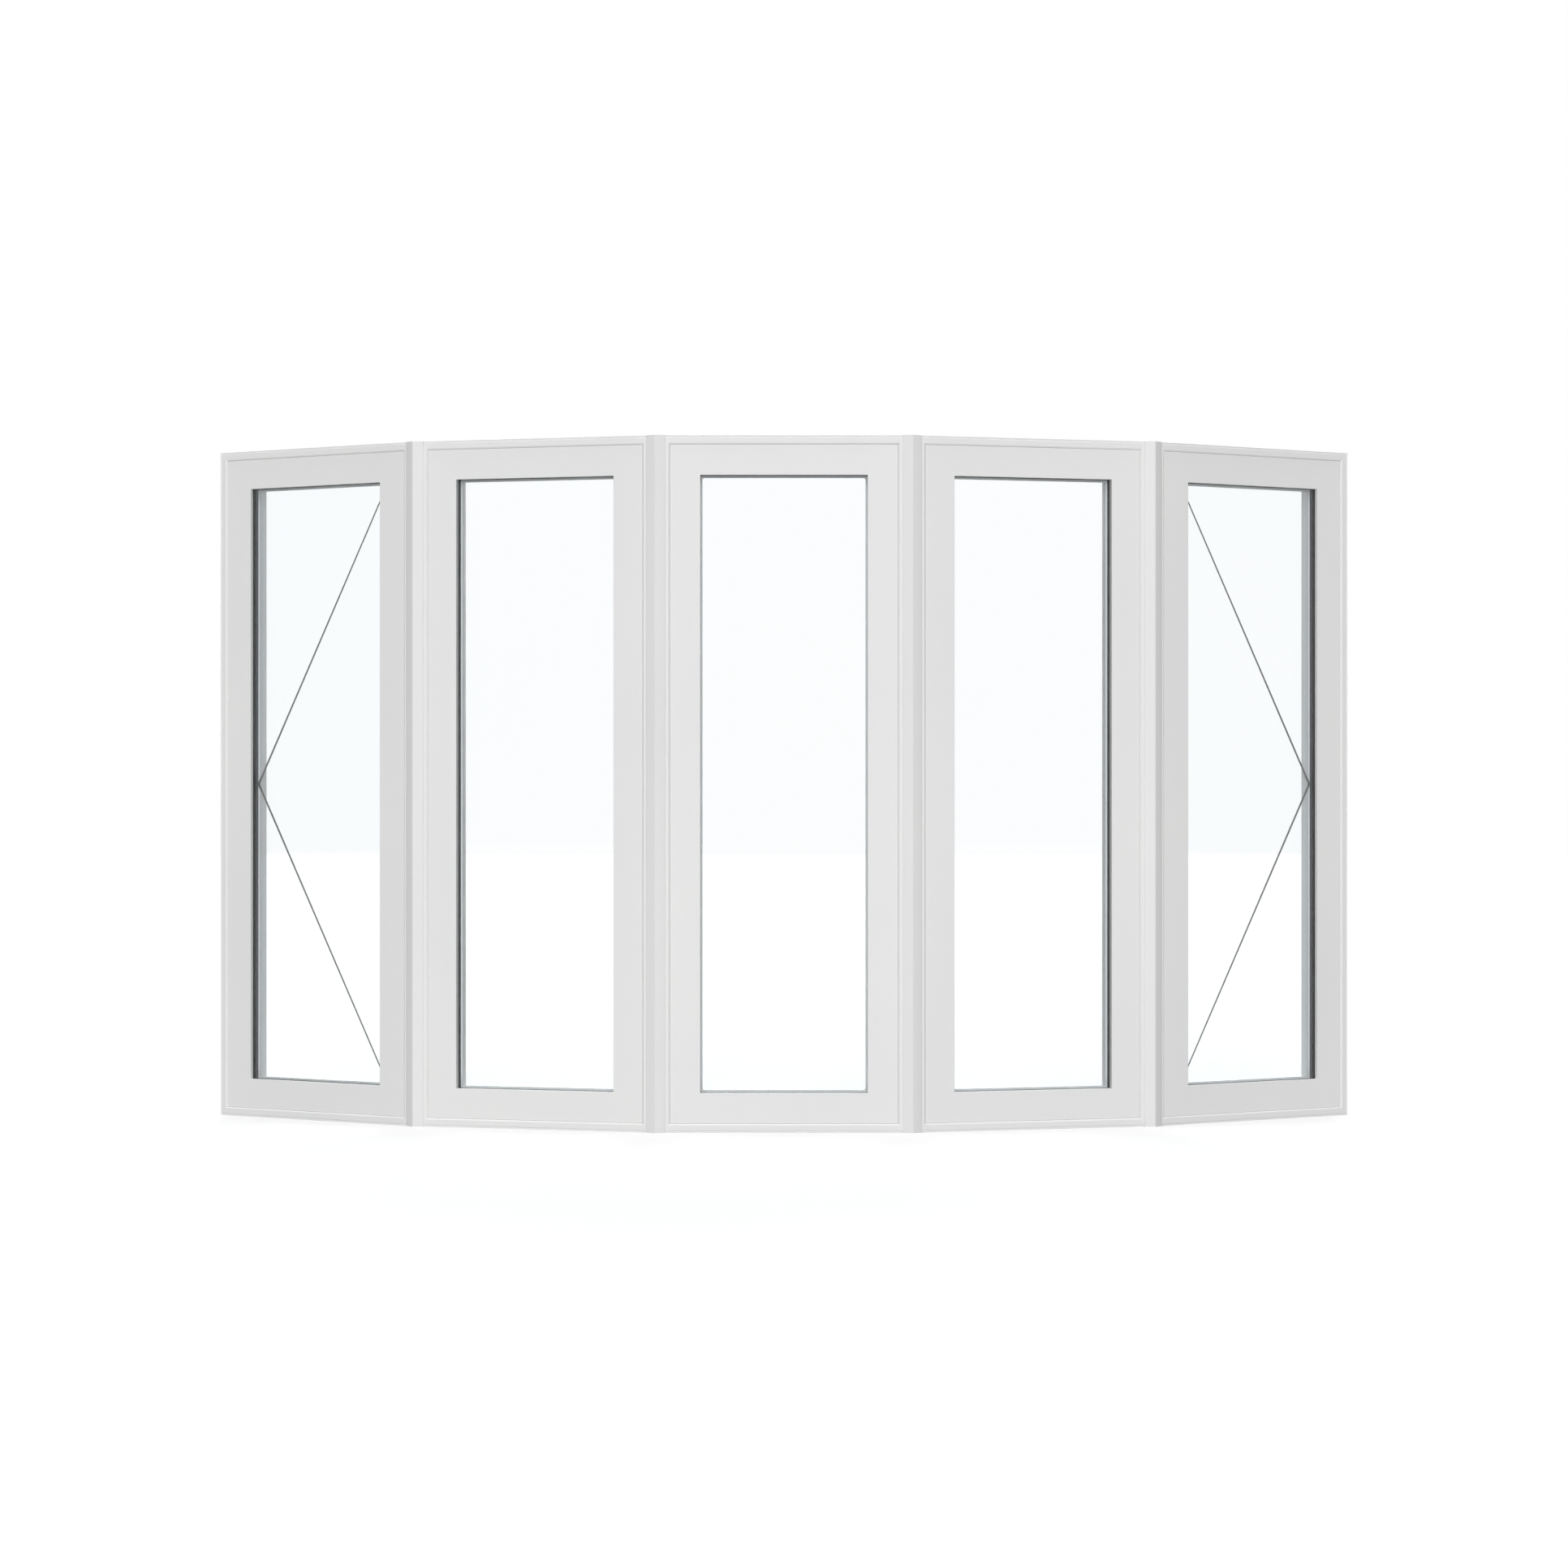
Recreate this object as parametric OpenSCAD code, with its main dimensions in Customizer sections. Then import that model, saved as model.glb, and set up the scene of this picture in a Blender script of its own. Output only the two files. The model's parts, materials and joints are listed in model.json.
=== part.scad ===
/* [Bow] */
// Width of each window unit
unit_w = 530; // [400:1:700]
// Height of the window
unit_h = 1500; // [900:1:2100]
// Angle between one unit and the next
joint_angle = 15; // [8:0.5:20]
// Gap between two units at their rear corners
rear_gap = 2; // [1:0.1:4]

/* [Frame] */
// Depth of the outer frame from front to back
frame_depth = 76; // [68:0.5:100]
// Width of the frame's front lip, its edge groove included
lip_w = 16.2; // [12:0.1:24]
// Width of the bevel from the lip down to the sash face
lip_bevel = 3; // [1:0.1:5]
// Depth of that bevel, which sets the sash face back
face_setback = 2; // [1:0.1:4]
// Width of the groove's inner slope, from the frame's edge to its bottom
groove_w = 3; // [1:0.1:4]
// Depth of the groove
groove_d = 1.7; // [0.5:0.1:2.5]
// Thickness of the stop that the sash closes against
stop_t = 14; // [8:0.5:20]
// Width of that stop, from the frame's edge
stop_w = 40; // [30:0.5:50]

/* [Sash] */
// Width of the sash face
sash_face = 65.5; // [50:0.5:80]
// Clearance between sash and frame
sash_gap = 0.3; // [0.2:0.1:1]
// Thickness of the leg in front of the glass
leg_t = 9; // [6:0.5:14]
// How far the sash covers the edge of the glass
glass_bite = 14; // [10:0.5:20]
// Room around the edge of the glass
glass_room = 2; // [1:0.5:4]

/* [Glazing] */
// Thickness of a pane
pane_t = 3; // [2.5:0.5:6]
// Gap between two panes of an opening light
narrow_cavity = 8; // [6:0.5:10]
// Gap between the panes of a fixed light
wide_cavity = 12; // [8:0.5:14]
// Width of the spacer bar at the edge of the panes
spacer_w = 7; // [5:0.5:10]
// How far the spacer and the packer stay back from the edge of the opening
sight_inset = 0.5; // [0:0.1:2]
// Depth of the straight part of the glazing bead
bead_flat = 17.4; // [10:0.1:20]
// How far the bead reaches past the edge of the opening
bead_lap = 3; // [1:0.5:6]
// How far the bead's sloping part widens the opening again
bead_splay = 1.5; // [1:0.5:8]

/* [Mullions] */
// Clearance between a mullion post and the frames beside it
post_gap = 0.3; // [0.1:0.1:0.6]
// Width of a mullion cover
cover_w = 42.6; // [36:0.1:50]
// Height of the cover's ridge above the frames' front corners
cover_ridge = 11; // [9:0.1:16]
// Thickness of the cover at its edges
cover_edge = 2.4; // [1.5:0.1:3]
// Radius of each curved face of the cover
cover_r = 135; // [100:1:300]
// Width of each leaf of the inside joint strip
strip_leaf = 16; // [10:0.5:18]
// Thickness of the inside joint strip
strip_t = 3; // [2:0.1:5]

/* [Opening hardware] */
// Distance from the hinge side of the frame to the middle of the operator
operator_x = 190; // [140:1:260]
// Length of the operator's cover
operator_l = 124; // [100:1:150]
// Height of the operator's cover
operator_h = 30; // [24:0.5:36]
// Depth of the operator's cover
operator_d = 20; // [14:0.5:26]
// Length of the crank arm between the centres of its hub and its knob
crank_l = 84; // [60:1:95]
// Diameter of the crank's hub
crank_hub_d = 20; // [14:0.5:24]
// Thickness of the crank arm
crank_t = 7; // [5:0.5:10]
// Diameter of the crank's knob
knob_d = 15; // [10:0.5:18]
// Length of the crank's knob
knob_l = 18; // [10:0.5:26]
// Height of the lock's middle above the sill
lock_z = 480; // [400:1:560]
// Length of the lock's base plate
lock_l = 104; // [80:1:130]
// Width of the lock's base plate
lock_w = 20; // [14:0.5:22]
// Thickness of the lock's base plate
lock_t = 6; // [4:0.5:9]
// Room between the lock's base plate and the joint strip
lock_room = 2; // [0.5:0.5:3]
// Length of the lock's lever
lever_l = 78; // [50:1:90]
// Width of the lock's lever
lever_w = 13; // [9:0.5:18]
// Height of the lever above the base plate
lever_rise = 16; // [12:0.5:24]

/* [Hidden] */
$fn = 64;
half_turn = joint_angle / 2;

// Depths from the front of the lip: sash face, back of the sash's front leg, inner face of the glass, back of the sash
leg_back = face_setback + leg_t;
triple_t = 3 * pane_t + 2 * narrow_cavity;
double_t = 2 * pane_t + wide_cavity;
glass_back = leg_back + triple_t;
sash_back = frame_depth - stop_t - sash_gap;

// Distances in from the edge of the unit: sash edge, glazing pocket, edge of the panes, edge of the opening
frame_reveal = lip_w + lip_bevel;
sash_u = frame_reveal + sash_gap;
opening_u = sash_u + sash_face;
pane_u = opening_u - glass_bite;
pocket_u = pane_u - glass_room;

// The five units from left to right, counted from the middle one, and the four joints between them
unit_names = ["left_end", "left_inner", "centre", "right_inner", "right_end"];
joint_names = ["outer_left", "inner_left", "inner_right", "outer_right"];
fixed_units = [1, 2, 3];
opening_units = [0, 4];
middle = 2;

unit_parts = ["frame", "sash", "glass", "spacer", "bead"];
hardware_parts = ["operator", "crank", "lock"];
joint_parts = ["mullion_post", "mullion_cover", "joint_strip"];

// Plan of the bow: the units turn about their rear corners
function heading(n) = [cos(n * joint_angle), sin(n * joint_angle)];
function rear_step(n) = (heading(n) + heading(n + 1)) * unit_w / 2 + heading(n + 0.5) * rear_gap;
function rear_middle(n) = n == 0 ? [0, frame_depth] : rear_middle(n - 1) + rear_step(n - 1);
function rear_joint(n) = rear_middle(n) + heading(n) * unit_w / 2 + heading(n + 0.5) * rear_gap / 2;

// Half of the gap at the front corners, and its distance in front of the rear corners
half_gap = rear_gap / 2 + frame_depth * sin(half_turn);
chord_y = frame_depth * cos(half_turn);

// The bow is centred between the ridge of an inner cover and the rear corner of an end unit
rear_corner_y = (rear_middle(middle) + heading(middle) * unit_w / 2).y;
ridge_y = (rear_joint(0) - [-sin(half_turn), cos(half_turn)] * (chord_y + cover_ridge)).y;
bow_shift = -(rear_corner_y + ridge_y) / 2;

// Each curved face of a cover is an arc from the ridge to the edge
cover_half = cover_w / 2;
edge_rise = cover_edge - (cover_half - half_gap) * tan(half_turn);
crown = [cover_half, edge_rise - cover_ridge];
crown_out = [-crown.y, crown.x] / norm(crown);
crown_centre = [cover_half, edge_rise + cover_ridge] / 2 - crown_out * sqrt(cover_r ^ 2 - (norm(crown) / 2) ^ 2);

// Places its children in the plan of one unit, with y = 0 on the front of its lip
module at_unit(i) {
    side = i < middle ? 1 : 0;
    n = abs(i - middle);
    mirror([side, 0, 0])
        translate([rear_middle(n).x, rear_middle(n).y + bow_shift, 0])
            rotate(n * joint_angle)
                translate([0, -frame_depth, 0])
                    children();
}

// Places its children at one joint, with y = 0 at the rear corners and +y towards the room
module at_joint(i) {
    side = i < middle ? 1 : 0;
    n = i < middle ? middle - 1 - i : i - middle;
    mirror([side, 0, 0])
        translate([rear_joint(n).x, rear_joint(n).y + bow_shift, 0])
            rotate((n + 0.5) * joint_angle)
                children();
}

// One mitred length of an outline whose x runs in from the edge of the unit and whose y runs back from its front
module mitred_length(length, outline) {
    reach = max([for (point = outline) point.x]);
    intersection() {
        rotate([0, -90, 0])
            linear_extrude(length, center = true)
                polygon(outline);
        translate([0, frame_depth, 0])
            rotate([90, 0, 0])
                linear_extrude(frame_depth)
                    polygon([
                        [-length / 2, 0],
                        [length / 2, 0],
                        [length / 2 - reach, reach],
                        [reach - length / 2, reach]
                    ]);
    }
}

// Four mitred lengths welded into a rectangle of the unit's size
module mitred_ring(outline) {
    translate([0, 0, unit_h / 2])
        for (turn = [0:3]) {
            along_x = turn % 2 == 0;
            rotate([0, turn * 90, 0])
                translate([0, 0, -(along_x ? unit_h : unit_w) / 2])
                    mitred_length(along_x ? unit_w : unit_h, outline);
        }
}

// A square outline between two distances from the edge and two depths
function band(u, v) = [[u[0], v[0]], [u[1], v[0]], [u[1], v[1]], [u[0], v[1]]];

module frame(i) {
    color("whitesmoke")
        at_unit(i)
            mitred_ring([
                [0, 0],
                [groove_w, groove_d],
                [groove_w + groove_d, 0],
                [lip_w, 0],
                [frame_reveal, face_setback],
                [frame_reveal, frame_depth - stop_t],
                [stop_w, frame_depth - stop_t],
                [stop_w, frame_depth],
                [0, frame_depth]
            ]);
}

module sash(i) {
    color("white")
        at_unit(i)
            mitred_ring([
                [sash_u, face_setback],
                [opening_u, face_setback],
                [opening_u, leg_back],
                [pocket_u, leg_back],
                [pocket_u, sash_back],
                [sash_u, sash_back]
            ]);
}

// Bead on the room side that holds the panes against the sash's front leg
module bead(i) {
    edge = opening_u + bead_lap;
    color("gainsboro")
        at_unit(i)
            mitred_ring([
                [pocket_u, glass_back],
                [edge, glass_back],
                [edge, glass_back + bead_flat],
                [edge - bead_splay, sash_back],
                [pocket_u, sash_back]
            ]);
}

// Strip that takes up the difference between a fixed light's two panes and an opening light's three
module packer(i) {
    color("darkgray")
        at_unit(i)
            mitred_ring(band([pocket_u, opening_u - sight_inset], [leg_back, glass_back - double_t]));
}

function pane_count(i) = len(search(i, opening_units)) > 0 ? 3 : 2;
function cavity(i) = pane_count(i) == 3 ? narrow_cavity : wide_cavity;

// Front of one pane, counted from the room side, where all the units share a plane
function pane_front(i, n) = glass_back - pane_t - n * (pane_t + cavity(i));

module glass(i) {
    color("lightcyan", 0.4)
        at_unit(i)
            for (n = [0:pane_count(i) - 1])
                translate([pane_u - unit_w / 2, pane_front(i, n), pane_u])
                    cube([unit_w - 2 * pane_u, pane_t, unit_h - 2 * pane_u]);
}

module spacer(i) {
    edge = opening_u - sight_inset;
    color("#202224")
        at_unit(i)
            for (n = [1:pane_count(i) - 1]) {
                front = pane_front(i, n) + pane_t;
                mitred_ring(band([edge - spacer_w, edge], [front, front + cavity(i)]));
            }
}

// Wedge between two frames
module mullion_post(i) {
    color("lightgray")
        at_joint(i)
            linear_extrude(unit_h)
                polygon([
                    [post_gap - rear_gap / 2, 0],
                    [rear_gap / 2 - post_gap, 0],
                    [half_gap - post_gap, -chord_y],
                    [post_gap - half_gap, -chord_y]
                ]);
}

// Cover with a crisp ridge, lying on the front of both frames
module mullion_cover(i) {
    color("white")
        at_joint(i)
            linear_extrude(unit_h)
                translate([0, -chord_y])
                    mirror([0, 1])
                        difference() {
                            intersection() {
                                intersection_for (side = [0, 1])
                                    mirror([side, 0])
                                        translate(crown_centre)
                                            circle(cover_r, $fn = 256);
                                translate([-cover_half, -cover_ridge])
                                    square([cover_w, 2 * cover_ridge]);
                            }
                            translate([-half_gap, -2 * cover_ridge])
                                square([2 * half_gap, 2 * cover_ridge]);
                            for (side = [0, 1])
                                mirror([side, 0])
                                    translate([half_gap, 0])
                                        rotate(-half_turn)
                                            translate([-cover_half, -2 * cover_ridge])
                                                square([cover_w, 2 * cover_ridge]);
                        }
}

// Shallow angle strip that closes the joint on the room side
module joint_strip(i) {
    corner = [rear_gap / 2, 0];
    leaf = [cos(half_turn), sin(half_turn)] * strip_leaf;
    lift = [-sin(half_turn), cos(half_turn)] * strip_t;
    right = [corner, corner + leaf, corner + leaf + lift];
    left = [for (n = [2:-1:0]) [-right[n].x, right[n].y]];
    color("white")
        at_joint(i)
            linear_extrude(unit_h)
                polygon(concat(right, [[0, strip_t / cos(half_turn)]], left));
}

// Hinge side of an opening light is its outer jamb: +x in the plan of either end unit
hinge_x = unit_w / 2;
operator_z = stop_w / 2;
operator_cx = hinge_x - operator_x;
crank_x = operator_cx - operator_l / 2 + crank_hub_d;

// The lock stands beside the joint strip
lock_u = strip_leaf + lock_room + lock_w / 2;

module operator(i) {
    color("silver")
        at_unit(i)
            translate([operator_cx, frame_depth, operator_z])
                rotate([-90, 0, 0])
                    linear_extrude(operator_d) {
                        square([operator_l - operator_h, operator_h], center = true);
                        for (side = [-1, 1])
                            translate([side * (operator_l - operator_h) / 2, 0])
                                circle(d = operator_h);
                    }
}

module crank(i) {
    color("silver")
        at_unit(i)
            translate([crank_x, frame_depth + operator_d, operator_z])
                rotate([-90, 0, 0])
                    union() {
                        cylinder(d = crank_hub_d, h = crank_t);
                        translate([0, -crank_hub_d / 4, 0])
                            cube([crank_l, crank_hub_d / 2, crank_t]);
                        translate([crank_l, 0, 0])
                            cylinder(d = knob_d, h = crank_t + knob_l);
                    }
}

// Lock on the stop opposite the hinges
module lock(i) {
    color("silver")
        at_unit(i)
            translate([lock_u - hinge_x, frame_depth, lock_z])
                rotate([-90, 0, 0])
                    union() {
                        translate([-lock_w / 2, -lock_l / 2, 0])
                            cube([lock_w, lock_l, lock_t]);
                        cylinder(d = lever_w, h = lock_t + lever_rise);
                        translate([-lever_w / 2, 0, lock_t + lever_rise / 2])
                            cube([lever_w, lever_l, lever_rise / 2]);
                    }
}

for (i = [0:len(unit_names) - 1]) {
    frame(i);
    sash(i);
    glass(i);
    spacer(i);
    bead(i);
}
for (i = fixed_units) {
    packer(i);
}
for (i = opening_units) {
    operator(i);
    crank(i);
    lock(i);
}
for (i = [0:len(joint_names) - 1]) {
    mullion_post(i);
    mullion_cover(i);
    joint_strip(i);
}
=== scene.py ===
import json
import math

import bmesh
import bpy
from mathutils import Matrix, Vector


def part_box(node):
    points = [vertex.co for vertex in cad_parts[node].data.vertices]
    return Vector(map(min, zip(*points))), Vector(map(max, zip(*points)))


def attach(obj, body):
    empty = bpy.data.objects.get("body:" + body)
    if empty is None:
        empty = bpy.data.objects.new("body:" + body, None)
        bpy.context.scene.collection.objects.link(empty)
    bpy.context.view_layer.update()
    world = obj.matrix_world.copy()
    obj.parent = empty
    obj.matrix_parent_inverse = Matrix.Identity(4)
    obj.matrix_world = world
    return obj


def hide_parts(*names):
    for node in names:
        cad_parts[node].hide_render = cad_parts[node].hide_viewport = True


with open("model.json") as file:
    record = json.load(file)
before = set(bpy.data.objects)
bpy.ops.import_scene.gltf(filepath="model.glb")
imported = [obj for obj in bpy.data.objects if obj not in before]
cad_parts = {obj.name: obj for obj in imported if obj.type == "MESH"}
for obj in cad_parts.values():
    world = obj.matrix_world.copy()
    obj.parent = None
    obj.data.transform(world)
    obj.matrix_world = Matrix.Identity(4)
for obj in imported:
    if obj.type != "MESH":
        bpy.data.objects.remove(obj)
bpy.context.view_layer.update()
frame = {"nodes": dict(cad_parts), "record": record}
record = frame["record"]
print("frame loaded:", len(frame["nodes"]), "nodes")

unitNames = ["left_end", "left_inner", "centre", "right_inner", "right_end"]
jointNames = ["outer_left", "inner_left", "inner_right", "outer_right"]
fixedUnits = unitNames[1:4]
openingUnits = [unitNames[0], unitNames[4]]
middleUnit = 2

lowCorner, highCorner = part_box("centre_frame")
unitWidth = highCorner.x - lowCorner.x
unitDepth = highCorner.y - lowCorner.y
unitHeight = highCorner.z - lowCorner.z
wallAxis = next(m for m in record["mounts"] if m["name"] == "right_wall_jamb")["axis"]
jointAngle = math.atan2(wallAxis[1], wallAxis[0]) / 2  # the wall side is two joints from the middle


def placeAt(centre, angle):
    # x runs along the piece, y = 0 is its front and z = 0 its foot
    return (
        Matrix.Translation((centre.x, centre.y, 0))
        @ Matrix.Rotation(angle, 4, "Z")
        @ Matrix.Translation((0, -unitDepth / 2, 0))
    )


def middleOf(node):
    low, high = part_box(node)
    return (low + high) / 2


unitPlaces = {}
for index, unit in enumerate(unitNames):
    unitPlaces[unit] = placeAt(middleOf(unit + "_frame"), (index - middleUnit) * jointAngle)
jointPlaces = {}
for index, joint in enumerate(jointNames):
    jointPlaces[joint] = placeAt(middleOf(joint + "_mullion_post"), (index - 1.5) * jointAngle)

cameraLook = {"distance": 7.604, "fieldOfView": 25.0}  # metres from the middle light, degrees


def addCamera():
    data = bpy.data.cameras.new("camera")
    data.sensor_width = 36
    data.lens = data.sensor_width / 2 / math.tan(math.radians(cameraLook["fieldOfView"] / 2))
    camera = bpy.data.objects.new("camera", data)
    bpy.context.scene.collection.objects.link(camera)
    camera.location = (0, lowCorner.y - cameraLook["distance"], unitHeight / 2)
    camera.rotation_euler = (math.pi / 2, 0, 0)
    bpy.context.scene.camera = camera


addCamera()
print("camera placed")


class Tree:
    # a small wrapper that adds nodes and links them by name
    def __init__(self, nodeTree):
        self.tree = nodeTree
        self.tree.nodes.clear()

    def node(self, kind, settings=None, **inputs):
        new = self.tree.nodes.new(kind)
        for key, value in (settings or {}).items():
            setattr(new, key, value)
        for key, value in inputs.items():
            self.feed(new.inputs[key.replace("_", " ")], value)
        return new

    def feed(self, socket, value):
        if isinstance(value, bpy.types.NodeSocket):
            self.tree.links.new(value, socket)
        else:
            socket.default_value = value


def newMaterial(name):
    material = bpy.data.materials.new(name)
    material.use_nodes = True
    return material, Tree(material.node_tree)


def grey(level):
    return (level, level, level, 1)


def anyOf(tree, *factors):
    # 1 where at least one of the factors is 1
    result = factors[0]
    for factor in factors[1:]:
        larger = tree.node("ShaderNodeMath", {"operation": "MAXIMUM"})
        tree.feed(larger.inputs[0], result)
        tree.feed(larger.inputs[1], factor)
        result = larger.outputs[0]
    return result


def seenRays(tree):
    # 1 for what is looked at, straight, through the panes or in a reflection
    path = tree.node("ShaderNodeLightPath").outputs
    return anyOf(tree, path["Is Camera Ray"], path["Is Transmission Ray"], path["Is Glossy Ray"])


def noiseBetween(tree, vector, scale, detail, low, high):
    # a noise spread over two numbers; its own values rarely leave 0.3 to 0.7
    noise = tree.node("ShaderNodeTexNoise", Vector=vector, Scale=scale, Detail=detail)
    return tree.node(
        "ShaderNodeMapRange",
        Value=noise.outputs["Factor" if "Factor" in noise.outputs else "Fac"],
        From_Min=0.3,
        From_Max=0.7,
        To_Min=low,
        To_Max=high,
    ).outputs["Result"]


vinylLook = {
    "colour": (0.81, 0.81, 0.805),
    "deeper": (0.785, 0.787, 0.787),
    "roughness": 0.5,
    "roughnessSpread": 0.05,
    "sheen": 0.3,  # specular level
    "patchScale": 2.2,
    "grainScale": 850.0,
    "grainHeight": 0.05,
    "grainDepth": 0.0004,
    "index": 1.5,
}


def vinyl(name, look):
    material, tree = newMaterial(name)
    place = tree.node("ShaderNodeTexCoord").outputs["Object"]
    patch = noiseBetween(tree, place, look["patchScale"], 3.0, 0.0, 1.0)
    colour = tree.node("ShaderNodeMix", {"data_type": "RGBA"}, Factor=patch)
    tree.feed(colour.inputs[6], (*look["colour"], 1))
    tree.feed(colour.inputs[7], (*look["deeper"], 1))
    rough = noiseBetween(
        tree,
        place,
        look["patchScale"] * 9,
        4.0,
        look["roughness"] - look["roughnessSpread"],
        look["roughness"] + look["roughnessSpread"],
    )
    grain = tree.node("ShaderNodeTexNoise", Vector=place, Scale=look["grainScale"], Detail=2.0)
    bump = tree.node(
        "ShaderNodeBump",
        Strength=look["grainHeight"],
        Distance=look["grainDepth"],
        Height=grain.outputs[0],
    )
    surface = tree.node("ShaderNodeBsdfPrincipled", IOR=look["index"], Normal=bump.outputs["Normal"])
    tree.feed(surface.inputs["Base Color"], colour.outputs[2])
    tree.feed(surface.inputs["Roughness"], rough)
    surface.inputs["Specular IOR Level"].default_value = look["sheen"]
    tree.node("ShaderNodeOutputMaterial", Surface=surface.outputs["BSDF"])
    return material


glassLook = {
    "colour": (0.985, 0.992, 0.995),
    "deeper": (0.98, 0.99, 0.995),
    "letThrough": (0.97, 0.98, 0.98),  # of the light that falls through a pane
    "index": 1.5,
    "patchScale": 1.4,
}


def clearGlass(look):
    material, tree = newMaterial("clear_glass")
    place = tree.node("ShaderNodeTexCoord").outputs["Object"]
    tone = noiseBetween(tree, place, look["patchScale"], 1.0, 0.0, 1.0)
    colour = tree.node("ShaderNodeMix", {"data_type": "RGBA"}, Factor=tone)
    tree.feed(colour.inputs[6], (*look["colour"], 1))
    tree.feed(colour.inputs[7], (*look["deeper"], 1))
    surface = tree.node("ShaderNodeBsdfPrincipled", IOR=look["index"], Roughness=0.0)
    surface.inputs["Transmission Weight"].default_value = 1.0
    tree.feed(surface.inputs["Base Color"], colour.outputs[2])
    clear = tree.node("ShaderNodeBsdfTransparent", Color=(*look["letThrough"], 1))
    path = tree.node("ShaderNodeLightPath").outputs
    lighting = anyOf(tree, path["Is Shadow Ray"], path["Is Diffuse Ray"])
    mix = tree.node("ShaderNodeMixShader", Fac=lighting)
    tree.feed(mix.inputs[1], surface.outputs[0])
    tree.feed(mix.inputs[2], clear.outputs[0])
    tree.node("ShaderNodeOutputMaterial", Surface=mix.outputs[0])
    return material


frameVinyl = vinyl("frame_vinyl", vinylLook)
beadVinyl = vinyl(
    "bead_vinyl", {**vinylLook, "colour": (0.77, 0.775, 0.79), "deeper": (0.75, 0.755, 0.77)}
)
packerVinyl = vinyl(
    "packer_strip", {**vinylLook, "colour": (0.62, 0.62, 0.63), "deeper": (0.6, 0.6, 0.61)}
)
spacerBlack = vinyl(
    "spacer_bar", {**vinylLook, "colour": (0.02, 0.021, 0.024), "deeper": (0.014, 0.014, 0.016)}
)
sealRubber = vinyl(
    "seal_rubber",
    {**vinylLook, "colour": (0.1, 0.1, 0.105), "deeper": (0.07, 0.07, 0.075), "roughness": 0.7},
)
sealGrey = vinyl(
    "glazing_seal",
    {**vinylLook, "colour": (0.5, 0.5, 0.51), "deeper": (0.46, 0.46, 0.47), "roughness": 0.65},
)
hardwarePaint = vinyl(
    "hardware_paint",
    {**vinylLook, "colour": (0.83, 0.83, 0.82), "roughness": 0.32, "sheen": 0.5, "grainScale": 400.0},
)
screwSteel = vinyl(
    "screw_steel",
    {
        **vinylLook,
        "colour": (0.5, 0.5, 0.5),
        "deeper": (0.42, 0.42, 0.43),
        "roughness": 0.35,
        "sheen": 0.8,
    },
)
glass = clearGlass(glassLook)
print("materials made")


outlineLook = {
    "mergeGap": 1e-6,
    "straightTurn": 0.002,  # radians; a point that turns less is dropped
    "shallowTurn": 12,  # degrees; a corner that turns less is left sharp
    "mostOfSide": 0.42,  # of a side that one rounded corner may take
}


def loopsOf(node, place, height):
    # closed outlines of a node at one height, in the piece's own plan
    mesh = bmesh.new()
    mesh.from_mesh(frame["nodes"][node].data)
    bmesh.ops.remove_doubles(mesh, verts=mesh.verts, dist=outlineLook["mergeGap"])
    mesh.transform(place.inverted())
    bmesh.ops.bisect_plane(
        mesh,
        geom=mesh.verts[:] + mesh.edges[:] + mesh.faces[:],
        plane_co=(0, 0, height),
        plane_no=(0, 0, 1),
        clear_inner=True,
        clear_outer=True,
    )
    bmesh.ops.remove_doubles(mesh, verts=mesh.verts, dist=outlineLook["mergeGap"])
    loops = []
    left = set(mesh.verts)
    while left:
        walk = [left.pop()]
        while True:
            step = [e.other_vert(walk[-1]) for e in walk[-1].link_edges]
            step = [v for v in step if v in left]
            if not step:
                break
            walk.append(step[0])
            left.discard(step[0])
        loops.append(dropStraight([(v.co.x, v.co.y) for v in walk]))
    mesh.free()
    return loops


def turnAt(before, here, after):
    # signed angle by which an outline turns at a point
    a = Vector(here) - Vector(before)
    b = Vector(after) - Vector(here)
    return math.atan2(a.x * b.y - a.y * b.x, a.dot(b))


def dropStraight(points):
    kept = []
    for index, here in enumerate(points):
        turn = turnAt(points[index - 1], here, points[(index + 1) % len(points)])
        if abs(turn) > outlineLook["straightTurn"]:
            kept.append(here)
    return kept


def rounded(points, radius, steps=3):
    # the outline with its corners rounded; shallow turns are left as they are
    result = []
    for index, here in enumerate(points):
        before, after = points[index - 1], points[(index + 1) % len(points)]
        turn = turnAt(before, here, after)
        if abs(turn) < math.radians(outlineLook["shallowTurn"]):
            result.append(here)
            continue
        toBefore = Vector(before) - Vector(here)
        toAfter = Vector(after) - Vector(here)
        most = min(toBefore.length, toAfter.length) * outlineLook["mostOfSide"]
        reach = min(radius * math.tan(abs(turn) / 2), most)
        start = Vector(here) + toBefore.normalized() * reach
        end = Vector(here) + toAfter.normalized() * reach
        for step in range(steps + 1):
            t = step / steps
            point = start * (1 - t) ** 2 + Vector(here) * 2 * t * (1 - t) + end * t**2
            result.append((point.x, point.y))
    return result


creaseAngle = 38  # degrees; edges that turn less are shaded smooth


def finish(name, mesh, place, material, standsFor=()):
    # puts a mesh where its unit stands and hands it over
    bmesh.ops.recalc_face_normals(mesh, faces=mesh.faces[:])
    mesh.transform(place)
    data = bpy.data.meshes.new(name)
    mesh.to_mesh(data)
    mesh.free()
    data.materials.append(material)
    for polygon in data.polygons:
        polygon.use_smooth = True
    data.set_sharp_from_angle(angle=math.radians(creaseAngle))
    piece = bpy.data.objects.new(name, data)
    bpy.context.scene.collection.objects.link(piece)
    weighted = piece.modifiers.new("weighted", "WEIGHTED_NORMAL")
    weighted.keep_sharp = True
    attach(piece, "root")
    if standsFor:
        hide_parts(*standsFor)
    return piece


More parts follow.
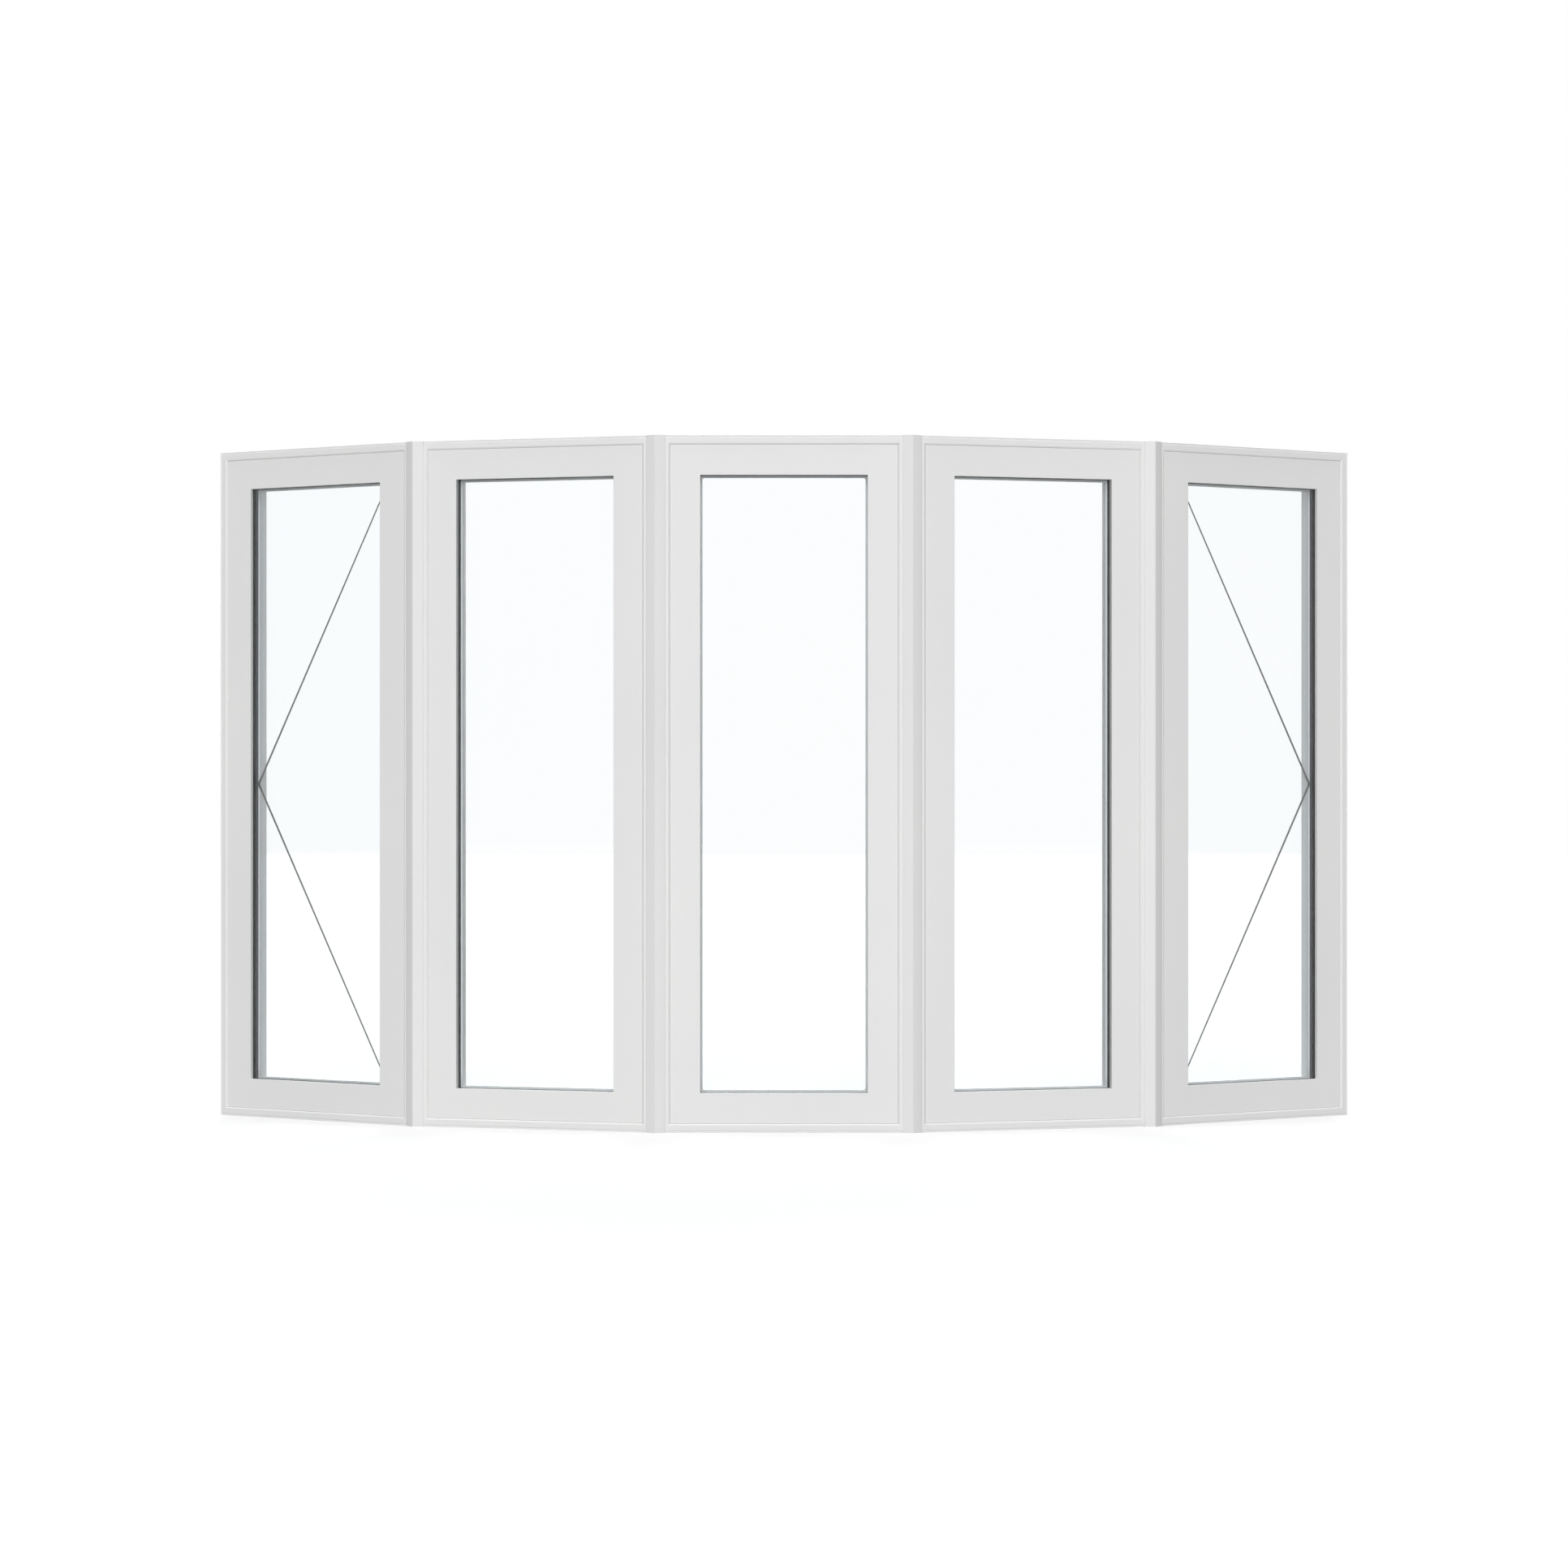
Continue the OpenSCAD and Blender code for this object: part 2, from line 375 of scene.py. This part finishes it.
def inwardNormals(outline):
    # unit normals that point into a closed outline
    area = sum(
        outline[i - 1][0] * outline[i][1] - outline[i][0] * outline[i - 1][1]
        for i in range(len(outline))
    )
    side = 1 if area > 0 else -1
    normals = []
    for index in range(len(outline)):
        before, after = Vector(outline[index - 1]), Vector(outline[(index + 1) % len(outline)])
        along = (after - before).normalized()
        normals.append(Vector((-along.y, along.x)) * side)
    return normals


def sweepRing(outline, seamWidth, seamDepth):
    # carries an outline round the light; each mitre gets a shallow groove, as a dressed weld has
    normals = inwardNormals(outline)
    halfWidth = unitWidth / 2
    corners = [(-1, 0), (1, 0), (1, 1), (-1, 1)]
    mesh = bmesh.new()
    stations = []
    for index, (side, top) in enumerate(corners):

        def corner(u, v):
            return Vector((side * (halfWidth - u), v, unitHeight - u if top else u))

        before = corners[index - 1]
        after = corners[(index + 1) % 4]
        away = []
        for other in (before, after):
            away.append(Vector((other[0] - side, 0, other[1] - top)).normalized() * seamWidth / 2)
        stations.append([corner(u, v) + away[0] for u, v in outline])
        deep = [(p[0] + n.x * seamDepth, p[1] + n.y * seamDepth) for p, n in zip(outline, normals)]
        stations.append([corner(u, v) for u, v in deep])
        stations.append([corner(u, v) + away[1] for u, v in outline])
    rings = [[mesh.verts.new(p) for p in station] for station in stations]
    for index, ring in enumerate(rings):
        nextRing = rings[(index + 1) % len(rings)]
        for j in range(len(ring)):
            k = (j + 1) % len(ring)
            mesh.faces.new((ring[j], ring[k], nextRing[k], nextRing[j]))
    return mesh


def extrudeUp(outline, low, high):
    mesh = bmesh.new()
    foot = [mesh.verts.new((x, y, low)) for x, y in outline]
    head = [mesh.verts.new((x, y, high)) for x, y in outline]
    for j in range(len(outline)):
        k = (j + 1) % len(outline)
        mesh.faces.new((foot[j], foot[k], head[k], head[j]))
    mesh.faces.new(list(reversed(foot)))
    mesh.faces.new(head)
    return mesh


profileLook = {
    "edgeRadius": {"frame": 0.0006, "sash": 0.0007, "bead": 0.0008, "packer": 0.0003, "spacer": 0.0003},
    "seamWidth": 0.0012,
    "seamDepth": 0.0003,
}
ringMaterials = {
    "frame": (frameVinyl, "frame_pvc"),
    "sash": (frameVinyl, "sash_pvc"),
    "bead": (beadVinyl, "bead_pvc"),
    "packer": (packerVinyl, "packer"),
    "spacer": (spacerBlack, "spacer_bar"),
}
openingEdge = {}
beadEdge = {}
stopCorner = {}
paneDepths = {}


def jambOutlines(unit, part):
    # outlines of the left jamb as (distance in from the edge, depth)
    loops = loopsOf(f"{unit}_{part}", unitPlaces[unit], unitHeight / 2)
    return [[(x + unitWidth / 2, y) for x, y in loop] for loop in loops if max(p[0] for p in loop) < 0]


def makeRings(unit, part):
    material, slotName = ringMaterials[part]
    meshes = []
    for outline in jambOutlines(unit, part):
        if part == "sash":
            openingEdge[unit] = max(u for u, v in outline)
        if part == "bead":
            beadEdge[unit] = max(u for u, v in outline)
        if part == "frame":
            farEdge = max(u for u, v in outline)
            stopCorner[unit] = (farEdge, min(v for u, v in outline if u > farEdge - 0.0001))
        smooth = rounded(outline, profileLook["edgeRadius"][part])
        meshes.append(sweepRing(smooth, profileLook["seamWidth"], profileLook["seamDepth"]))
    whole = meshes[0]
    for extra in meshes[1:]:
        data = bpy.data.meshes.new("part")
        extra.to_mesh(data)
        whole.from_mesh(data)
        extra.free()
        bpy.data.meshes.remove(data)
    finish(f"{unit}_{part}_profile", whole, unitPlaces[unit], material, (f"{unit}_{part}",))


for unit in unitNames:
    for part in ("frame", "sash", "bead", "spacer") + (("packer",) if unit in fixedUnits else ()):
        makeRings(unit, part)
    paneLoops = loopsOf(unit + "_glass", unitPlaces[unit], unitHeight / 2)
    paneDepths[unit] = sorted((min(p[1] for p in l), max(p[1] for p in l)) for l in paneLoops)
    frame["nodes"][unit + "_glass"].data.materials.clear()
    frame["nodes"][unit + "_glass"].data.materials.append(glass)
print("frames and glazing made")

mullionLook = {"coverEdge": 0.0005, "stripEdge": 0.0006, "postEdge": 0.0003}


def makeUpright(joint, part, edge):
    node = f"{joint}_{part}"
    outline = loopsOf(node, jointPlaces[joint], unitHeight / 2)[0]
    mesh = extrudeUp(rounded(outline, edge), 0, unitHeight)
    finish(node + "_profile", mesh, jointPlaces[joint], frameVinyl, (node,))


for joint in jointNames:
    makeUpright(joint, "mullion_post", mullionLook["postEdge"])
    makeUpright(joint, "mullion_cover", mullionLook["coverEdge"])
    makeUpright(joint, "joint_strip", mullionLook["stripEdge"])
print("mullions made")

markLook = {
    "width": 0.0032,
    "thickness": 0.0003,
    "endDrop": 0.0026,  # how far the ends lie inside the opening's corners
}


def makeMark(unit, hingeSide):
    # two thin lines on the inner pane, from the middle of the hinge side to the far corners
    surface = paneDepths[unit][-1][0] - markLook["thickness"]
    reach = unitWidth / 2 - openingEdge[unit]
    apex = Vector((hingeSide * reach, unitHeight / 2))
    low = openingEdge[unit] + markLook["endDrop"]
    halfWide = markLook["width"] / 2
    farX = -hingeSide * reach
    slope = (Vector((farX, unitHeight - low)) - apex).normalized()
    across = halfWide / abs(slope.x)
    tip = Vector((apex.x, apex.y))
    outer = [Vector((farX, unitHeight - low + across)), tip + Vector((0, across))]
    outer += [tip - Vector((0, across)), Vector((farX, low - across))]
    inset = 2 * across * abs(slope.x / slope.y)
    inner = [Vector((farX, low + across)), Vector((tip.x - hingeSide * inset, tip.y))]
    inner.append(Vector((farX, unitHeight - low - across)))
    outline = outer + inner
    mesh = bmesh.new()
    near = [mesh.verts.new((p.x, surface, p.y)) for p in outline]
    far = [mesh.verts.new((p.x, surface + markLook["thickness"], p.y)) for p in outline]
    for j in range(len(outline)):
        k = (j + 1) % len(outline)
        mesh.faces.new((near[j], near[k], far[k], far[j]))
    for layer in (near, far):  # two arms that meet at the apex
        mesh.faces.new((layer[0], layer[1], layer[5], layer[6]))
        mesh.faces.new((layer[1], layer[2], layer[5]))
        mesh.faces.new((layer[2], layer[3], layer[4], layer[5]))
    finish(f"{unit}_opening_mark", mesh, unitPlaces[unit], spacerBlack)


makeMark("left_end", -1)
makeMark("right_end", 1)
print("opening marks made")


def newGroup(name, numbers):
    # an empty tree with named number inputs, a seed and a material
    group = bpy.data.node_groups.new(name, "GeometryNodeTree")
    sockets = [("Geometry", "INPUT", "NodeSocketGeometry"), ("Geometry", "OUTPUT", "NodeSocketGeometry")]
    sockets += [(number, "INPUT", "NodeSocketFloat") for number in numbers]
    sockets += [("Seed", "INPUT", "NodeSocketInt"), ("Material", "INPUT", "NodeSocketMaterial")]
    for title, way, kind in sockets:
        group.interface.new_socket(title, in_out=way, socket_type=kind)
    return group


def bakeNodes(group, values, points=()):
    # runs a tree on a few points and returns the result as a plain mesh
    data = bpy.data.meshes.new(group.name)
    data.from_pydata(points, [], [])
    carrier = bpy.data.objects.new(group.name, data)
    bpy.context.scene.collection.objects.link(carrier)
    modifier = carrier.modifiers.new("tree", "NODES")
    modifier.node_group = group
    for item in group.interface.items_tree:
        if item.item_type == "SOCKET" and item.in_out == "INPUT" and item.name in values:
            modifier[item.identifier] = values[item.name]
    evaluated = carrier.evaluated_get(bpy.context.evaluated_depsgraph_get())
    baked = bpy.data.meshes.new_from_object(evaluated)
    carrier.modifiers.remove(modifier)
    bpy.data.objects.remove(carrier)
    mesh = bmesh.new()
    mesh.from_mesh(baked)
    return mesh


def sealGroup():
    # a closed rectangle with soft corners, swept with a round profile and stood upright
    group = newGroup("seal_path", ("Width", "Height", "Depth", "Middle", "Bulge", "Corner"))
    tree = Tree(group)
    given = tree.node("NodeGroupInput").outputs
    path = tree.node(
        "GeometryNodeCurvePrimitiveQuadrilateral", Width=given["Width"], Height=given["Height"]
    )
    soft = tree.node("GeometryNodeFilletCurve", Curve=path.outputs[0], Radius=given["Corner"])
    profile = tree.node("GeometryNodeCurvePrimitiveCircle", Radius=given["Bulge"], Resolution=8)
    sweep = tree.node("GeometryNodeCurveToMesh", Curve=soft.outputs[0], Profile_Curve=profile.outputs[0])
    place = tree.node("ShaderNodeCombineXYZ", Y=given["Depth"], Z=given["Middle"])
    upright = tree.node(
        "GeometryNodeTransform",
        Geometry=sweep.outputs[0],
        Translation=place.outputs[0],
        Rotation=(math.pi / 2, 0, 0),
    )
    whole = tree.node("GeometryNodeRealizeInstances", Geometry=upright.outputs[0])
    painted = tree.node("GeometryNodeSetMaterial", Geometry=whole.outputs[0], Material=given["Material"])
    tree.node("NodeGroupOutput", Geometry=painted.outputs[0])
    return group


sealLook = {
    "glazingBulge": 0.001,  # radius of the line at the bead's inner edge
    "stripBulge": 0.0018,  # radius of the strip on the frame's stop
    "stripLap": 0.3,  # share of its radius by which the strip's middle passes the stop's edge
    "corner": 0.004,
}
sealPath = sealGroup()


def makeSeal(unit, part, edge, depth, bulge, material):
    # edge is how far the seal's middle lies in from the unit's edge
    values = {
        "Width": unitWidth - 2 * edge,
        "Height": unitHeight - 2 * edge,
        "Depth": depth,
        "Middle": unitHeight / 2,
        "Bulge": bulge,
        "Corner": sealLook["corner"],
        "Material": material,
    }
    finish(f"{unit}_{part}", bakeNodes(sealPath, values), unitPlaces[unit], material)


for unit in unitNames:
    bulge = sealLook["glazingBulge"]
    depth = paneDepths[unit][-1][1]
    makeSeal(unit, "glazing_seal", beadEdge[unit], depth + bulge, bulge, sealGrey)
    bulge = sealLook["stripBulge"]
    edge, depth = stopCorner[unit]
    edge += bulge * sealLook["stripLap"]
    makeSeal(unit, "weatherstrip", edge, depth + bulge, bulge, sealRubber)
print("seals made")


def localBounds(node, place):
    # a node's low and high corners in the plan of its unit
    toLocal = place.inverted() @ frame["nodes"][node].matrix_world
    points = [toLocal @ v.co for v in frame["nodes"][node].data.vertices]
    low = Vector([min(p[i] for p in points) for i in range(3)])
    high = Vector([max(p[i] for p in points) for i in range(3)])
    return low, high


def capsule(start, end, startRadius, endRadius, steps=14):
    # outline in x and z of two round ends of their own size, joined by straight sides
    axis = Vector(end) - Vector(start)
    heading = math.atan2(axis.y, axis.x)
    lean = math.asin((startRadius - endRadius) / axis.length)
    points = []
    for i in range(steps + 1):
        a = heading - math.pi / 2 + lean + (math.pi - 2 * lean) * i / steps
        points.append((end[0] + endRadius * math.cos(a), end[1] + endRadius * math.sin(a)))
    for i in range(steps + 1):
        a = heading + math.pi / 2 - lean + (math.pi + 2 * lean) * i / steps
        points.append((start[0] + startRadius * math.cos(a), start[1] + startRadius * math.sin(a)))
    return points


def addShell(mesh, rings):
    # closes a stack of outlines into one skin
    rings = [[mesh.verts.new(p) for p in ring] for ring in rings]
    for near, far in zip(rings, rings[1:]):
        for j in range(len(near)):
            k = (j + 1) % len(near)
            mesh.faces.new((near[j], near[k], far[k], far[j]))
    mesh.faces.new(rings[0])
    mesh.faces.new(rings[-1])


def softPrism(mesh, outline, low, high, lowRadius, highRadius, steps=4):
    # a prism towards the room whose end edges are rounded
    layers = []
    for i in range(steps + 1 if lowRadius else 1):
        a = math.pi / 2 * i / steps
        layers.append((low + lowRadius * (1 - math.cos(a)), lowRadius * (1 - math.sin(a))))
    for i in range(steps + 1):
        a = math.pi / 2 * i / steps
        layers.append((high - highRadius * (1 - math.sin(a)), highRadius * (1 - math.cos(a))))
    normals = inwardNormals(outline)
    rings = []
    for depth, inset in layers:
        rings.append([(p[0] + n.x * inset, depth, p[1] + n.y * inset) for p, n in zip(outline, normals)])
    addShell(mesh, rings)


def turned(mesh, centre, profile, steps=36):
    # a round part about an axis towards the room, from pairs of radius and depth
    rings = []
    for radius, depth in profile:
        ring = []
        for i in range(steps):
            a = 2 * math.pi * i / steps
            ring.append((centre[0] + radius * math.cos(a), depth, centre[1] + radius * math.sin(a)))
        rings.append(ring)
    addShell(mesh, rings)


operatorLook = {"crown": 0.006}


def makeOperator(unit):
    low, high = localBounds(unit + "_operator", unitPlaces[unit])
    radius = (high.z - low.z) / 2
    middle = (high.z + low.z) / 2
    mesh = bmesh.new()
    outline = capsule((low.x + radius, middle), (high.x - radius, middle), radius, radius)
    softPrism(mesh, outline, low.y, high.y, 0, operatorLook["crown"], 6)
    covered = (unit + "_operator",)
    finish(unit + "_operator_cover", mesh, unitPlaces[unit], hardwarePaint, covered)


crankLook = {
    "armThickness": 0.007,
    "armWidth": 0.0125,
    "tipWidth": 0.010,
    "armDrop": 0.4,  # edges by which the arm lies below its hub
    "knobRadius": 0.0075,
    "edge": 0.0016,
    "hub": [(1, 2), (0.94, 1), (0.8, 0.2), (0.6, 0)],  # share of the radius, edges below its top
    "knobFoot": [(0.55, 0), (0.5, 0.003), (0.86, 0.0048), (1, 0.008)],  # share, height above the arm
    "knobEnd": [(1, 0.004), (0.9, 0.0012), (0.6, 0)],  # share, distance below the end
}


def makeCrank(unit, side):
    # the crank folds flat along its cover, with the knob at the free end
    low, high = localBounds(unit + "_crank", unitPlaces[unit])
    look = crankLook
    hubRadius = (high.z - low.z) / 2
    middle = (high.z + low.z) / 2
    hub = (low.x + hubRadius if side > 0 else high.x - hubRadius, middle)
    knob = (high.x - look["knobRadius"] if side > 0 else low.x + look["knobRadius"], middle)
    armTop = low.y + look["armThickness"]
    edge = look["edge"]
    mesh = bmesh.new()
    hubShape = [(hubRadius, low.y)]
    hubShape += [(hubRadius * share, armTop - edge * drop) for share, drop in look["hub"]]
    turned(mesh, hub, hubShape)
    arm = capsule(hub, knob, look["armWidth"] / 2, look["tipWidth"] / 2)
    softPrism(mesh, arm, low.y + edge, armTop - edge * look["armDrop"], edge, edge)
    tip = look["knobRadius"]
    stem = armTop - edge
    knobShape = [(tip * share, stem + rise) for share, rise in look["knobFoot"]]
    knobShape += [(tip * share, high.y - drop) for share, drop in look["knobEnd"]]
    turned(mesh, knob, knobShape)
    finish(unit + "_crank_handle", mesh, unitPlaces[unit], hardwarePaint, (unit + "_crank",))


lockLook = {
    "plateLength": 0.104,
    "plateThickness": 0.006,
    "plateCorner": 0.006,
    "leverWidth": 0.013,
    "leverTip": 0.009,
    "leverThickness": 0.008,
    "leverEdge": 0.00234,
    "edge": 0.0018,
    "bossFoot": 0.001,  # its start, inside the plate
    "boss": [(1, 0.004), (0.8, 0.007)],  # share of the lever's half width, height above the plate
    "bossEnd": 0.002,  # its end, inside the lever
}
screwSpots = {}


def makeLock(unit):
    low, high = localBounds(unit + "_lock", unitPlaces[unit])
    look = lockLook
    middle = (low.x + high.x) / 2
    pivot = (middle, low.z + look["plateLength"] / 2)
    plateTop = low.y + look["plateThickness"]
    plateHead = low.z + look["plateLength"]
    plate = [(low.x, low.z), (high.x, low.z), (high.x, plateHead), (low.x, plateHead)]
    mesh = bmesh.new()
    softPrism(mesh, rounded(plate, look["plateCorner"], 6), low.y, plateTop, 0, look["edge"])
    wide = look["leverWidth"] / 2
    boss = [(wide, low.y + look["bossFoot"])]
    boss += [(wide * share, plateTop + rise) for share, rise in look["boss"]]
    boss.append((boss[-1][0], high.y - look["bossEnd"]))
    turned(mesh, pivot, boss)
    narrow = look["leverTip"] / 2
    lever = capsule(pivot, (middle, high.z - narrow), wide, narrow)
    leverFoot = high.y - look["leverThickness"]
    softPrism(mesh, lever, leverFoot, high.y, look["edge"], look["leverEdge"])
    finish(unit + "_lock_handle", mesh, unitPlaces[unit], hardwarePaint, (unit + "_lock",))
    reach = look["plateLength"] / 2 - screwLook["fromEnd"]
    depth = plateTop - screwLook["sink"]
    screwSpots[unit] = [(middle, depth, pivot[1] + way * reach) for way in (-1, 1)]


screwLook = {
    "headRadius": 0.0036,
    "headDepth": 0.0014,
    "slotWidth": 0.0008,
    "slotLength": 0.0044,
    "fromEnd": 0.0075,
    "sink": 0.0003,  # of the head into the plate
    "crown": 0.7,  # radius of the flat top, as a share of the head's
    "seeds": {-1: 8, 1: 3},  # how the slots happen to stand, left and right
}


def screwGroup():
    # a domed head with a cross recess on every point, each turned its own way
    group = newGroup("screw_heads", ("Head Radius", "Head Depth", "Slot Width", "Slot Length"))
    tree = Tree(group)
    given = tree.node("NodeGroupInput").outputs
    crown = tree.node("ShaderNodeMath", {"operation": "MULTIPLY"})
    tree.feed(crown.inputs[0], given["Head Radius"])
    tree.feed(crown.inputs[1], screwLook["crown"])
    head = tree.node(
        "GeometryNodeMeshCone",
        Vertices=28,
        Radius_Top=crown.outputs[0],
        Radius_Bottom=given["Head Radius"],
        Depth=given["Head Depth"],
    )
    lift = tree.node("ShaderNodeCombineXYZ", Z=given["Head Depth"])
    bars = []
    for order in (("Slot Length", "Slot Width"), ("Slot Width", "Slot Length")):
        size = tree.node("ShaderNodeCombineXYZ", Z=given["Head Depth"])
        tree.feed(size.inputs["X"], given[order[0]])
        tree.feed(size.inputs["Y"], given[order[1]])
        bar = tree.node("GeometryNodeMeshCube", Size=size.outputs[0])
        moved = tree.node("GeometryNodeTransform", Geometry=bar.outputs[0], Translation=lift.outputs[0])
        bars.append(moved.outputs[0])
    cut = tree.node("GeometryNodeMeshBoolean", {"operation": "DIFFERENCE"})
    tree.feed(cut.inputs[0], head.outputs["Mesh"])
    for bar in bars:
        tree.feed(cut.inputs[1], bar)
    facing = tree.node("GeometryNodeTransform", Geometry=cut.outputs[0], Rotation=(-math.pi / 2, 0, 0))
    turn = tree.node("FunctionNodeRandomValue", {"data_type": "FLOAT"})
    tree.feed(turn.inputs[3], math.pi)  # the most that a head is turned
    tree.feed(turn.inputs["Seed"], given["Seed"])
    around = tree.node("ShaderNodeCombineXYZ", Y=turn.outputs[1])
    heads = tree.node(
        "GeometryNodeInstanceOnPoints",
        Points=given["Geometry"],
        Instance=facing.outputs[0],
        Rotation=around.outputs[0],
    )
    whole = tree.node("GeometryNodeRealizeInstances", Geometry=heads.outputs[0])
    painted = tree.node("GeometryNodeSetMaterial", Geometry=whole.outputs[0], Material=given["Material"])
    tree.node("NodeGroupOutput", Geometry=painted.outputs[0])
    return group


screwHeads = screwGroup()


def makeScrews(unit, seed):
    values = {
        "Head Radius": screwLook["headRadius"],
        "Head Depth": screwLook["headDepth"],
        "Slot Width": screwLook["slotWidth"],
        "Slot Length": screwLook["slotLength"],
        "Seed": seed,
        "Material": screwSteel,
    }
    mesh = bakeNodes(screwHeads, values, screwSpots[unit])
    finish(unit + "_lock_screws", mesh, unitPlaces[unit], screwSteel)


for unit, side in zip(openingUnits, (-1, 1)):
    makeOperator(unit)
    makeCrank(unit, side)
    makeLock(unit)
    makeScrews(unit, screwLook["seeds"][side])
print("hardware made")


# grey for the light that the floor throws back, grey and glow for what is seen of it
floorLook = {"size": 60, "thrown": 0.05, "seen": 0.75, "glow": 0.22}


def addStage():
    material, tree = newMaterial("pale_floor")
    seen = seenRays(tree)
    colour = tree.node("ShaderNodeMix", {"data_type": "RGBA"}, Factor=seen)
    tree.feed(colour.inputs[6], grey(floorLook["thrown"]))
    tree.feed(colour.inputs[7], grey(floorLook["seen"]))
    surface = tree.node("ShaderNodeBsdfDiffuse", Color=colour.outputs[2])
    strength = tree.node("ShaderNodeMath", {"operation": "MULTIPLY"})
    tree.feed(strength.inputs[0], seen)
    tree.feed(strength.inputs[1], floorLook["glow"])
    glow = tree.node("ShaderNodeEmission", Strength=strength.outputs[0])
    both = tree.node("ShaderNodeAddShader")
    tree.feed(both.inputs[0], surface.outputs[0])
    tree.feed(both.inputs[1], glow.outputs[0])
    tree.node("ShaderNodeOutputMaterial", Surface=both.outputs[0])
    bpy.ops.mesh.primitive_plane_add(size=floorLook["size"], location=(0, 0, 0))
    floor = bpy.context.object
    floor.name = "floor"
    floor.data.materials.append(material)
    floor.visible_shadow = False  # it lets the bounce lamp through from below


worldLook = {"light": 0.06, "backdrop": 1.0}  # what it throws on the window, and what is seen of it


def addWorld():
    world = bpy.data.worlds.new("studio")
    bpy.context.scene.world = world
    world.use_nodes = True
    tree = Tree(world.node_tree)
    light = tree.node("ShaderNodeBackground", Color=grey(1), Strength=worldLook["light"])
    backdrop = tree.node("ShaderNodeBackground", Color=grey(1), Strength=worldLook["backdrop"])
    mix = tree.node("ShaderNodeMixShader", Fac=seenRays(tree))
    tree.feed(mix.inputs[1], light.outputs[0])
    tree.feed(mix.inputs[2], backdrop.outputs[0])
    tree.node("ShaderNodeOutputWorld", Surface=mix.outputs[0])


# azimuth is turned from straight in front, softness is the lamp's width across, all in degrees
lampLook = {
    "bounce": {"azimuth": 0, "elevation": -30, "strength": 0.9, "softness": 30, "mirrored": False},
    "low": {"azimuth": 0, "elevation": 6, "strength": 0.75, "softness": 10, "mirrored": False},
    "front": {"azimuth": 0, "elevation": 16, "strength": 0.52, "softness": 20, "mirrored": True},
    "key": {"azimuth": -7, "elevation": 35, "strength": 1.05, "softness": 40, "mirrored": True},
    "above": {"azimuth": 0, "elevation": 88, "strength": 1.6, "softness": 12, "mirrored": True},
    "room": {"azimuth": 175, "elevation": 20, "strength": 2.9, "softness": 60, "mirrored": True},
}


def addLamp(name, look):
    data = bpy.data.lights.new(name, "SUN")
    data.energy = look["strength"]
    data.angle = math.radians(look["softness"])
    lamp = bpy.data.objects.new(name, data)
    bpy.context.scene.collection.objects.link(lamp)
    lamp.visible_transmission = False  # or the panes would show the lamp behind them
    lamp.visible_glossy = look["mirrored"]  # a low lamp would stand in the middle pane
    azimuth, elevation = math.radians(look["azimuth"]), math.radians(look["elevation"])
    towards = Vector(
        (
            math.sin(azimuth) * math.cos(elevation),
            -math.cos(azimuth) * math.cos(elevation),
            math.sin(elevation),
        )
    )
    lamp.rotation_euler = towards.to_track_quat("Z", "Y").to_euler()


addStage()
addWorld()
for name, look in lampLook.items():
    addLamp(name, look)
bpy.context.scene.view_settings.view_transform = "Standard"
print("stage and light set")
